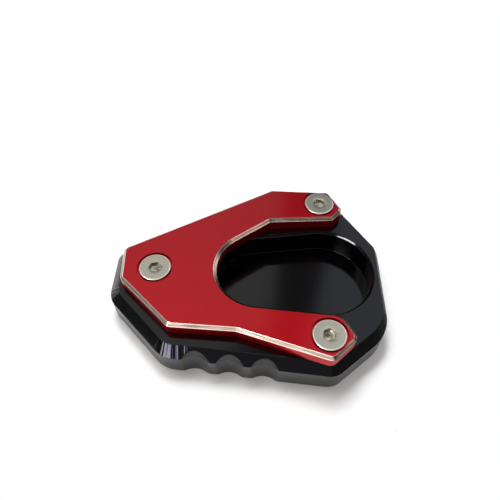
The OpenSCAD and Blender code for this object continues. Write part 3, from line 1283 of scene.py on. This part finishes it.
    def outline(self) -> Outline:
        """Outline of the upright wall, with close points along the scalloped edge.

        Returns:
            The outline, listed from the back of the left edge.
        """
        left, right = self.front_ends()
        side, back = self.width / 2, self.depth / 2
        right_front = right[1] + (side - right[0]) * tan(radians(self.slant_angle))
        corners = np.array([
            [-side, self.left_back, self.left_back_r],
            [-side, self.left_front, self.left_front_r],
            [*left, self.front_left_r],
            [*right, self.front_right_r],
            [side, right_front, self.right_front_r],
            [side, self.right_back, self.back_r],
            [self.back_right, back, self.back_r],
            [self.back_left, back, self.back_r],
        ])
        pitch = [self.edge_pitch] * len(corners)
        pitch[FRONT_EDGE] = self.front_pitch
        return Outline(corners, pitch, self.top_lean(corners))

    def top_lean(self, corners: np.ndarray) -> np.ndarray:
        """Moves of the corners beside the left and right edges, from the slope's foot to its top.

        Each of those corners slides along the line to its other neighbour until its edge is drawn
        in by its own width.

        Args:
            corners: Rows of x, y and radius.

        Returns:
            A move for each corner.
        """
        lean = np.zeros((len(corners), 2))
        left = self.left_slope_w - self.slope_w - self.width / 2
        right = self.width / 2 + self.slope_w - self.right_slope_w
        # Each corner, its other neighbour and the place that its edge leans to
        for k, other, x in ((0, 7, left), (1, 2, left), (4, 3, right), (5, 6, right)):
            line = corners[other, :2] - corners[k, :2]
            lean[k] = line * (x - corners[k, 0]) / line[0]
        return lean

    def pocket(self) -> Belt:
        """Outline of the foot pocket's wall.

        Returns:
            The outline.
        """
        first = np.array([self.width / 2 - self.pocket_wall - self.pocket_r, self.pocket_y])
        second = first - np.array([self.pocket_run, self.pocket_slant])
        return Belt(first, self.pocket_r, second, self.pocket_end_r)

    def wall_section(self) -> np.ndarray:
        """Section of the outside, from the underside up: edge break, wall, slope and top edge.

        Returns:
            Rows of distance and height.
        """
        slope_z = self.thick - self.slope_h
        section = eased([
            (self.foot_break + self.flat_margin, 0, 0),
            (self.foot_break, 0, self.foot_eases[0]),
            (0, self.foot_break, self.foot_eases[1]),
            (0, slope_z, self.slope_eases[0]),
            (self.slope_w, self.thick, self.slope_eases[1]),
            (self.slope_w + self.flat_margin, self.thick, 0),
        ])
        section = divided(section, self.wall_pitch, self.foot_break, slope_z)
        low, high = slope_z - self.slope_lead, self.thick - LEVEL_GAP
        return divided(section, self.slope_pitch, low, high)

    def scallop_field(self, along: np.ndarray, height: float) -> np.ndarray:
        """Depth of the scallops: each is a circle's chord height, deeper with its leaning axis.

        Args:
            along: Distance along the front edge.
            height: Height of the level.

        Returns:
            Depth behind the edge, negative where no scallop reaches.
        """
        middle = self.scallop_first + self.scallop_pitch * np.arange(self.scallop_count)[:, None]
        rise = height - (self.thick - self.slope_h)
        depth = self.scallop_depth + rise * tan(radians(self.scallop_lean))
        chord = self.scallop_r**2 - (along[None] - middle) ** 2
        reach = np.sqrt(np.clip(chord, 0, None)) - (self.scallop_r - depth)
        return reach.max(0)

    def outside(self) -> np.ndarray:
        """Rings of the outside, with the scallops pressed into the front stretch of each level.

        On that stretch a level's distance behind the edge is the larger of the section's own and
        the scallops', with a rounded change-over. On the edge break at the underside the section's
        distance comes on top instead, so that the break follows the scallops.

        Returns:
            Points as rows by columns by 3.
        """
        outline, section = self.outline(), self.wall_section()
        share = np.clip((section[:, 1] - self.thick + self.slope_h) / self.slope_h, 0, 1)
        levels = zip(section, share)
        rings = np.stack([np.insert(outline.at(d, s), 2, z, axis=1) for (d, z), s in levels])
        front = outline.run_slice(FRONT_EDGE)
        edge = outline.at(0)[front]
        left, right = self.front_ends()
        inward = unit(np.array([left[1] - right[1], right[0] - left[0]]))
        along = np.linalg.norm(edge - left, axis=1)
        for ring, (distance, height) in zip(rings, section):
            base = 0.0 if height < self.foot_break else distance
            field_depth = self.scallop_field(along, height)
            near = np.exp(-((np.clip(field_depth, None, 0) / self.land_fade) ** 2))
            depth = softer_max(np.full_like(along, base), field_depth, self.land_ease)
            depth = base + (depth - base) * near
            if height < self.foot_break:
                depth = depth + distance
            ring[front, :2] = edge + inward * depth[:, None]
        return rings

    def mill_marks(self, height: np.ndarray) -> np.ndarray:
        """Share of mill ridges on the outside: whole on the slope round each corner.

        At the left front corner they run on along the front and fade out; elsewhere there are none.

        Args:
            height: Height of each ring.

        Returns:
            A share for each point, as rows by columns.
        """
        outline = self.outline()
        around = []
        for k in range(len(outline.corners)):
            beyond = outline.pitch[k] * np.arange(outline.run_points(k) + 1)
            run = np.clip((self.ridge_run - beyond) / self.ridge_fade, 0, 1) * (k == FRONT_EDGE)
            arc = np.ones(outline.arc_points(k))
            arc[[0, -1]] = 0, run[0]
            around += [arc, run[1:]]
        slope = (height > self.thick - self.slope_h) & (height < self.thick - LEVEL_GAP)
        return slope[:, None] * np.concatenate(around)

    def inside(self) -> np.ndarray:
        """Rings of the pocket's wall, from its floor up to the top face.

        Returns:
            Points as rows by columns by 3, with the clock, so that the wall faces the pocket.
        """
        floor = self.thick - self.pocket_depth
        section = eased([
            (-self.pocket_floor_r - self.flat_margin, floor, 0),
            (0, floor, self.pocket_floor_r),
            (0, self.thick - self.pocket_break, self.pocket_eases[0]),
            (self.pocket_break, self.thick, self.pocket_eases[1]),
            (self.pocket_break + self.flat_margin, self.thick, 0),
        ])
        return loft(self.pocket(), section)[:, ::-1]

    def threaded_hole(self, centre: np.ndarray) -> np.ndarray:
        """Rings of a threaded hole, from its edge break at the underside up to the top face.

        Args:
            centre: Place of its axis.

        Returns:
            Points as rows by columns by 3, with the clock, so that the hole faces its axis.
        """
        thread, (width, low) = ThreadForm(), self.hole_break
        mouth = np.array([[thread.radius + self.thread_gap + width, 0.0]])
        bore = thread.surface(
            centre, low, self.thick, self.thread_gap, self.hole_run_out, Groove.OUTWARDS
        )
        return np.concatenate([turned(centre, mouth, thread.columns), bore])[:, ::-1]

    def build_shell(self) -> Shell:
        """Works out the plate: outside, pocket, threaded holes, top, floor and underside.

        Returns:
            The closed shell.
        """
        outside, inside = self.outside(), self.inside()
        holes = [self.threaded_hole(centre) for centre in self.screws.all()]
        height = outside[:, 0, 2]
        middle = (height[1:] + height[:-1]) / 2
        wall = (middle > self.foot_break) & (middle < self.thick - self.slope_h)
        band = np.where(wall, Band.EDGE.value, Band.FACE.value)
        shell = Shell()
        shell.sheet(outside, surface_map(outside), band, self.mill_marks(height))
        for rings in (inside, *holes):
            shell.sheet(rings, surface_map(rings))
        tops, feet = ([rings[k, :, :2] for rings in (outside, inside, *holes)] for k in (-1, 0))
        shell.flat(tops, self.thick, Facing.UP)
        shell.flat([feet[1]], self.thick - self.pocket_depth, Facing.UP)
        shell.flat([feet[0], *feet[2:]], 0.0, Facing.DOWN)
        return shell

    def build(self, black: Material, side: Material) -> Piece:
        """Builds and dresses the base plate.

        Args:
            black: Its finish.
            side: Finish of its upright wall, a copy of the black painted lighter.

        Returns:
            The finished piece.
        """
        name = "base_plate_black"
        piece = place(name, self.build_shell().mesh(name), black, side)
        declare(piece, "base_plate")
        return piece


@dataclass
class ClampPlate:
    """Red clamp plate: two arms round the pocket, a bright chamfer and three countersinks.

    The mouth round each head is deeper than the solid's, so that the gap there looks dark.

    Attributes:
        base: The base plate that it lies on.
        screws: Places of the screws.
        thick: Thickness.
        chamfer: Bright chamfer round the top face.
        margin_left: Border of the base left free at the back end of the left edge.
        margin_left_taper: Extra border at the front end of the left edge.
        left_step_front: Border left free at the front of the left edge, along the edge.
        left_step_back: Border left free at the back of the left edge, along the edge.
        margin_back: Border left free along the back edge.
        back_fall: How far the back edge falls off towards the right.
        front_corner: The base's front left corner to the plate's corner.
        waist: That corner to the front arm, along the scallops.
        opening_r: Radius of the opening's round end.
        corner_r: Rounding of a corner, doubled or more where the photographed corner is rounder.
        arm_inner_x: Screws of the arms to the right ends of the arms' inner edges.
        back_arm_inner: Screw of the back arm to its inner edge.
        back_arm_run: Run and rise of the back arm's straight inner edge.
        back_arm_outer: Screw of the back arm to the right end of its back edge.
        back_arm_tip: Screw of the back arm to its tip.
        front_arm_inner: Screw of the front arm to its inner edge.
        front_arm_tip: Screw of the front arm to its right tip.
        front_arm_nose: Screw of the front arm to its front tip.
        foot_ease: Edge break at the underside.
        edge_ease: Rounding of the chamfer's two edges.
        rim_highlight: Power by which the painted highlight fades from the chamfer's rims to its
            middle.
        edge_pitch: Spacing of the points along the edges.
        band_pitch: Spacing of the rows on the chamfer.
        flat_margin: Width of the flat rows that lead from an edge onto a flat face.
        pass_r: Radius of a screw's through hole.
        sink_r: Radius that its countersink would have at the top face.
        mouth_r: Radius of the straight mouth round its head.
        mouth_depth: Depth of that mouth.
        cutter_over: How far the tool that sinks the holes stands out of the plate.
        cutter_columns: Points round that tool.
    """

    base: BasePlate
    screws: ScrewPlaces
    thick: float = 5.0
    chamfer: float = 1.1
    margin_left: float = 4.2
    margin_left_taper: float = 1.0
    left_step_front: float = 2.7
    left_step_back: float = 4.0
    margin_back: float = 4.5
    back_fall: float = 0.6
    front_corner: tuple[float, float] = (2.2, 6.8)
    waist: tuple[float, float] = (22.6, -1.1)
    opening_r: float = 15.5
    corner_r: float = 1.5
    arm_inner_x: float = 4.7
    back_arm_inner: float = 7.9
    back_arm_run: tuple[float, float] = (23.8, 1.6)
    back_arm_outer: float = 3.8
    back_arm_tip: tuple[float, float] = (9.3, -3.0)
    front_arm_inner: float = 7.8
    front_arm_tip: tuple[float, float] = (9.6, -0.7)
    front_arm_nose: tuple[float, float] = (0.9, -8.9)
    foot_ease: float = 0.12
    edge_ease: float = 0.07
    rim_highlight: int = 3
    edge_pitch: float = 2.0
    band_pitch: float = 0.16
    flat_margin: float = 0.12
    pass_r: float = 3.3
    sink_r: float = 6.0
    mouth_r: float = 6.3
    mouth_depth: float = 1.0
    cutter_over: float = 1.0
    cutter_columns: int = 128

    def opening_apex(self, front: np.ndarray, back: np.ndarray) -> np.ndarray:
        """Where the opening's two straight sides would meet, each a tangent to its round end.

        Args:
            front: End of the front side.
            back: End of the back side.

        Returns:
            The meeting point.
        """
        centre = self.base.pocket().second
        lines = []
        for point, side in ((front, 1), (back, -1)):
            v = centre - point
            angle = atan2(v[1], v[0]) + side * np.arcsin(self.opening_r / np.linalg.norm(v))
            lines.append((point, np.array([cos(angle), sin(angle)])))
        (p, u), (q, w) = lines
        return p + u * cross(q - p, w) / cross(u, w)

    def outline(self) -> Outline:
        """Outline of the plate's upright wall, against the clock from the back of its left edge.

        Returns:
            The outline.
        """
        b, back, front = self.base, self.screws.back, self.screws.front
        left = -b.width / 2 + self.margin_left
        back_y = b.depth / 2 - self.margin_back
        slant = np.array([b.back_left + b.width / 2, b.depth / 2 - b.left_back])
        left_back = b.left_back - self.left_step_back
        waist_start = b.front_ends()[0] + self.front_corner
        front_inner = front + [self.arm_inner_x, self.front_arm_inner]
        back_inner = back + [self.arm_inner_x, -self.back_arm_inner]
        back_bend = back_inner - self.back_arm_run
        r = self.corner_r
        corners = np.array([
            [left, left_back, 2 * r],
            [left + self.margin_left_taper, b.left_front + self.left_step_front, 2 * r],
            [*waist_start, 2 * r],
            [*(waist_start + self.waist), r],
            [*(front + self.front_arm_nose), 2 * r],
            [*(front + self.front_arm_tip), 2 * r],
            [*front_inner, 3 * r],
            [*self.opening_apex(front_inner, back_bend), self.opening_r],
            [*back_bend, r],
            [*back_inner, r],
            [*(back + self.back_arm_tip), 2 * r],
            [back[0] + self.back_arm_outer, back_y - self.back_fall, r],
            [left + (back_y - left_back) * slant[0] / slant[1], back_y, r],
        ])
        return Outline(corners, [self.edge_pitch] * len(corners))

    def build_shell(self) -> Shell:
        """Works out the plate without its holes: wall, chamfer and the two flat faces.

        Returns:
            The closed shell.
        """
        low, high = self.base.thick, self.base.thick + self.thick
        section = eased([
            (self.foot_ease + self.flat_margin, low, 0),
            (self.foot_ease, low, 0),
            (0, low + self.foot_ease, 0),
            (0, high - self.chamfer, self.edge_ease),
            (self.chamfer, high, self.edge_ease),
            (self.chamfer + self.flat_margin, high, 0),
        ])
        section = divided(section, self.band_pitch, high - self.chamfer, high - LEVEL_GAP)
        middle = (section[1:] + section[:-1]) / 2
        bright = (middle[:, 1] > high - self.chamfer) & (middle[:, 0] < self.chamfer)
        band = np.where(bright, Band.EDGE.value, Band.FACE.value)
        rings = loft(self.outline(), section)
        # Painted highlight: a share that is whole at the chamfer's two rims and fades to its middle
        half = self.chamfer / 2
        offset = np.clip(np.abs(section[:, 1] - high + half) / half, 0, 1)
        rims = np.repeat(offset[:, None] ** self.rim_highlight, rings.shape[1], axis=1)
        shell = Shell()
        shell.sheet(rings, surface_map(rings), band, rims)
        shell.flat([rings[-1, :, :2]], high, Facing.UP)
        shell.flat([rings[0, :, :2]], low, Facing.DOWN)
        return shell

    def cutter_shell(self) -> Shell:
        """Works out the tool that sinks the screw holes: a shank, a cone and a straight mouth.

        Returns:
            The closed shell.
        """
        low, high = self.base.thick, self.base.thick + self.thick
        over = self.cutter_over
        section = np.array([
            [0, low - over],
            [self.pass_r, low - over],
            [self.pass_r, high - self.sink_r + self.pass_r],
            [self.sink_r - self.mouth_depth, high - self.mouth_depth],
            [self.mouth_r, high - self.mouth_depth],
            [self.mouth_r, high + over],
            [0, high + over],
        ])
        shell = Shell()
        for centre in self.screws.all():
            rows = turned(centre, section, self.cutter_columns)
            shell.sheet(rows, surface_map(rows))
        return shell

    def build(self, red: Material, bright: Material) -> Piece:
        """Builds the plate, sinks its holes and dresses it.

        Args:
            red: Finish of the plate.
            bright: Finish of its chamfer.

        Returns:
            The finished piece.
        """
        name, tool = "clamp_plate_red", "clamp_plate_cutter"
        piece = place(name, self.build_shell().mesh(name), red, bright)
        cutter = place(tool, self.cutter_shell().mesh(tool), red, bright)
        sink = piece.modifiers.new("countersinks", "BOOLEAN")
        sink.operation, sink.solver, sink.object = "DIFFERENCE", "EXACT", cutter
        graph = bpy.context.evaluated_depsgraph_get()
        piece.data = bpy.data.meshes.new_from_object(
            piece.evaluated_get(graph), preserve_all_data_layers=True, depsgraph=graph
        )
        piece.data.name = name
        piece.modifiers.clear()
        bpy.data.objects.remove(cutter)
        soften(piece.data)
        declare(piece, "clamp_plate")
        return piece


# Studio


def hung(azimuth: float, elevation: float, distance: float) -> Spot:
    """Place of a lamp about the object.

    Args:
        azimuth: Degrees to the right of the way the camera faces.
        elevation: Degrees above the floor.
        distance: Metres from the object.

    Returns:
        The place in metres.
    """
    a, e = radians(azimuth), radians(elevation)
    return distance * cos(e) * sin(a), distance * cos(e) * cos(a), distance * sin(e)


def upright(azimuth: float, height: float, distance: float) -> Spot:
    """Place of a lamp that stands beside the object.

    Args:
        azimuth: Degrees to the right of the way the camera faces.
        height: Metres above the floor.
        distance: Metres from the object along the floor.

    Returns:
        The place in metres.
    """
    return distance * sin(radians(azimuth)), distance * cos(radians(azimuth)), height


@dataclass(frozen=True)
class Softbox:
    """A flat lamp that faces the object, or stands upright beside it.

    Attributes:
        name: Name of the lamp.
        spot: Place in metres.
        size: Width and height in metres.
        radiance: Brightness of its face, where 1 is the white of the picture.
        colour: Colour of its light.
        upright: Whether it stands upright, with its sides plumb.
        mirrored: Whether polished faces show it.
        casts: Whether matt faces take light from it.
    """

    name: str
    spot: Spot
    size: tuple[float, float]
    radiance: float
    colour: str = "#FFFFFF"
    upright: bool = False
    mirrored: bool = True
    casts: bool = True

    def build(self) -> Piece:
        """Makes the lamp. A flat lamp's power is its radiance times pi times its area.

        Returns:
            The lamp.
        """
        data = bpy.data.lights.new(self.name, "AREA")
        data.shape, data.size, data.size_y = "RECTANGLE", *self.size
        data.energy = self.radiance * pi * self.size[0] * self.size[1]
        data.color = linear(self.colour)[:3]
        lamp = bpy.data.objects.new(self.name, data)
        lamp.location = self.spot
        x, y, z = self.spot
        ahead = Vector((-x, -y, 0 if self.upright else -z))
        lamp.rotation_euler = ahead.to_track_quat("-Z", "Y").to_euler()
        lamp.visible_glossy, lamp.visible_diffuse = self.mirrored, self.casts
        bpy.context.scene.collection.objects.link(lamp)
        return lamp


@dataclass
class Studio:
    """Pale floor, white surround, softboxes and the camera.

    Attributes:
        floor_r: Radius of the round floor in metres.
        floor_middle: Its middle in metres.
        floor_trim: Where its left and right sides are trimmed straight, in metres.
        floor_drop: How far below the underside it lies, in metres, so that the two never coincide.
        floor_points: Points round its rim.
        floor_lift: Light added to it where it is looked at, so that it shows white.
        paper: Colour of the floor.
        surround: Strength of the world where the camera doesn't look straight at it.
        camera_spot: Place of the camera in millimetres.
        heading: Turn of the camera against the clock from straight ahead, in degrees.
        pitch: Tilt below the horizon in degrees.
        roll: Roll in degrees.
        focal_px: Focal length in widths of one pixel of the photograph.
        photo_px: Width of the photograph in pixels.
        sensor: Width of the camera's sensor in millimetres.
        clip_start: Nearest distance that the camera sees, in metres.
    """

    floor_r: float = 0.078
    floor_middle: tuple[float, float] = (0.004, 0.01)
    floor_trim: tuple[float, float] = (-0.07, 0.0555)
    floor_drop: float = 0.00005
    floor_points: int = 128
    floor_lift: float = 0.1
    paper: str = "#F7F7F7"
    surround: float = 0.11
    camera_spot: Spot = (2.70, -103.27, 159.3)
    heading: float = 1.1
    pitch: float = 52.61
    roll: float = -0.52
    focal_px: float = 485.5
    photo_px: float = 500.0
    sensor: float = 36.0
    clip_start: float = 0.01

    def ray_share(self, tree: Tree, *kinds: str) -> Socket:
        """Tells rays of some kinds from all others.

        Args:
            tree: The node tree.
            *kinds: Names of the Light Path node's outputs.

        Returns:
            A socket that is 1 for a ray of one of the kinds, and 0 for all others.
        """
        path = add_node(tree, "ShaderNodeLightPath")
        share = path.outputs[kinds[0]]
        for kind in kinds[1:]:
            larger = add_node(
                tree, "ShaderNodeMath", {"operation": "MAXIMUM"}, i0=share, i1=path.outputs[kind]
            )
            share = larger.outputs["Value"]
        return share

    def build_floor(self) -> Piece:
        """Lays the floor: a matt white sheet, round with two straight sides, keeps the shadow.

        Returns:
            The floor.
        """
        material, tree = new_material("white_paper")
        paper = add_node(tree, "ShaderNodeBsdfDiffuse", Color=linear(self.paper))
        glow = add_node(tree, "ShaderNodeEmission", Color=WHITE, Strength=self.floor_lift)
        seen = self.ray_share(tree, "Is Camera Ray", "Is Glossy Ray", "Is Transmission Ray")
        lift = add_node(tree, "ShaderNodeMixShader", Fac=seen, i2=glow.outputs["Emission"])
        both = add_node(
            tree, "ShaderNodeAddShader", i0=paper.outputs["BSDF"], i1=lift.outputs["Shader"]
        )
        add_node(tree, "ShaderNodeOutputMaterial", Surface=both.outputs["Shader"])
        count, middle = self.floor_points, np.array(self.floor_middle)
        rim = ring_arc(middle, self.floor_r, 0, 2 * pi * (count - 1) / count, count)
        rim[:, 0] = np.clip(rim[:, 0], *self.floor_trim)
        mesh = bpy.data.meshes.new("floor")
        mesh.from_pydata(np.insert(rim, 2, -self.floor_drop, axis=1), [], [tuple(range(len(rim)))])
        floor = place("floor", mesh, material)
        return floor

    def build_surround(self) -> None:
        """Sets the world: white to the camera, and a plain soft light to the object.

        Reflections take the soft light too, because white ones made every face far too pale.
        """
        world = bpy.data.worlds.new("surround")
        bpy.context.scene.world = world
        world.use_nodes = True
        tree = world.node_tree
        tree.nodes.clear()
        seen = self.ray_share(tree, "Is Camera Ray", "Is Transmission Ray")
        level = add_node(tree, "ShaderNodeMapRange", Value=seen, To_Min=self.surround, To_Max=1.0)
        back = add_node(tree, "ShaderNodeBackground", Color=WHITE, Strength=level.outputs["Result"])
        add_node(tree, "ShaderNodeOutputWorld", Surface=back.outputs["Background"])

    def build_camera(self) -> Piece:
        """Sets the camera at the photograph's viewing angle.

        Returns:
            The camera.
        """
        data = bpy.data.cameras.new("camera")
        data.sensor_width = self.sensor
        data.lens = self.focal_px * self.sensor / self.photo_px
        data.clip_start = self.clip_start
        camera = bpy.data.objects.new("camera", data)
        turn, tilt, roll = radians(self.heading), radians(self.pitch), radians(self.roll)
        right = Vector((cos(turn), sin(turn), 0))
        ahead = Vector((-sin(turn) * cos(tilt), cos(turn) * cos(tilt), -sin(tilt)))
        down = ahead.cross(right)
        side, up = right * cos(roll) + down * sin(roll), right * sin(roll) - down * cos(roll)
        matrix = Matrix((side, up, -ahead)).transposed().to_4x4()
        matrix.translation = Vector(self.camera_spot) * MM
        camera.matrix_world = matrix
        bpy.context.scene.collection.objects.link(camera)
        bpy.context.scene.camera = camera
        return camera

    def build_lamps(self) -> None:
        """Hangs the softboxes.

        Panels, wings and fill are what the shiny faces mirror. The two keys give the plain light
        and the shadow, and stay out of reflections. Those that cast nothing only draw catch
        lights on the chamfers, ridges and slopes.
        """
        for lamp in (
            Softbox("left_panel", upright(-27.3, 0.9, 0.55), (0.706, 0.8), 0.82, upright=True),
            Softbox(
                "right_panel", upright(38.3, 0.9, 0.55), (0.44, 0.8), 0.98, "#EEF2FF", upright=True
            ),
            Softbox("rear_strip", hung(0, 76, 0.9), (1.0, 0.16), 1.2, casts=False),
            Softbox("overhead", hung(0, 89, 0.9), (0.5, 0.3), 0.9, casts=False),
            Softbox("key", hung(-16, 65.5, 0.9), (0.26, 0.26), 24.0, mirrored=False),
            Softbox("second_key", hung(-62, 66, 0.9), (0.26, 0.26), 8.0, mirrored=False),
            Softbox("front_fill", hung(180, 25, 0.9), (0.9, 0.32), 2.05, "#FFF6EE"),
            Softbox("window", hung(-134, 38, 0.9), (0.5, 0.1), 34.0, casts=False),
            Softbox("corner_light", hung(-132, 20, 0.9), (0.12, 0.2), 12.0, casts=False),
            Softbox("left_side", hung(-60, -4, 0.6), (0.4, 0.3), 1.5),
            Softbox("left_wing", hung(-106, 20, 0.9), (0.4, 0.4), 0.42),
            Softbox("low_left", hung(-144, -9, 0.6), (0.16, 0.1), 11.0, "#ECE9FF", casts=False),
            Softbox("low_violet", hung(-155.5, -8, 0.6), (0.07, 0.1), 5.0, "#CBBEFF", casts=False),
            Softbox("low_front", hung(180, -7, 0.6), (0.5, 0.08), 0.25, "#DDD6F4", casts=False),
            Softbox("right_side", hung(55, 8, 0.6), (0.4, 0.3), 1.7),
            Softbox("right_wing", hung(104, 12, 0.9), (0.3, 0.3), 0.8, "#FFEFE4"),
            Softbox("right_window", hung(119, 32, 0.9), (0.2, 0.2), 2.4, "#FFE6DC", casts=False),
            Softbox("left_glint", hung(-90, 13, 0.9), (0.1, 0.2), 5.0, "#FFE6DC", casts=False),
        ):
            lamp.build()

    def build(self) -> None:
        """Builds the whole studio."""
        self.build_floor()
        self.build_surround()
        self.build_camera()
        self.build_lamps()
        bpy.context.scene.view_settings.view_transform = "Standard"


# Smooth faces with the sealing wax still on them, so dark with a weak, clear shine
BLACK = BlackAnodised(
    "black_anodised_milled_aluminium", AnodicFace("#050506", "#030304"), 0.11, 1.4
)
# The upright wall, rougher from the side of the mill, so softer. Its colour is painted greyer
# than the top's, a painted lightening for the bright floor that the wall mirrors
BLACK_SIDE_PAINTED_LIGHTER = BlackAnodised(
    "black_anodised_side_milled_painted_lighter", AnodicFace("#0F0F0E", "#0A0A09"), 0.32, 1.7
)
# Metal shows through the red dye, so the shine takes its colour under a thin clear one
RED = DyedAnodised("red_anodised_aluminium", AnodicFace("#C61520", "#BE131E"), 0.42, 0.12, 0.4)
# The chamfer, cut after the dyeing, with a warm white shine
BRIGHT = CutAluminium("bright_cut_aluminium", "#F8E4DA", "#6F675F", 0.26)
# Screws as turned, a plain warm grey
STEEL = TurnedSteel("turned_stainless_steel", "#C2BFB0", "#B0AD9E", 0.33)


def main() -> None:
    """Builds the object piece by piece, then the studio."""
    logging.basicConfig(level=logging.INFO, format="%(message)s")
    screws = ScrewPlaces()
    base = BasePlate(screws)
    base.build(BLACK.build(), BLACK_SIDE_PAINTED_LIGHTER.build())
    clamp = ClampPlate(base, screws)
    clamp.build(RED.build(), BRIGHT.build())
    steel = STEEL.build()
    head_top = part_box("screw_left")[1].z / MM
    for side, turn in (("left", 12.0), ("back", 40.0), ("front", 20.0)):
        Screw(f"screw_{side}", getattr(screws, side), head_top, socket_turn=turn).build(steel)
    Studio().build()


if __name__ == "__main__":
    main()
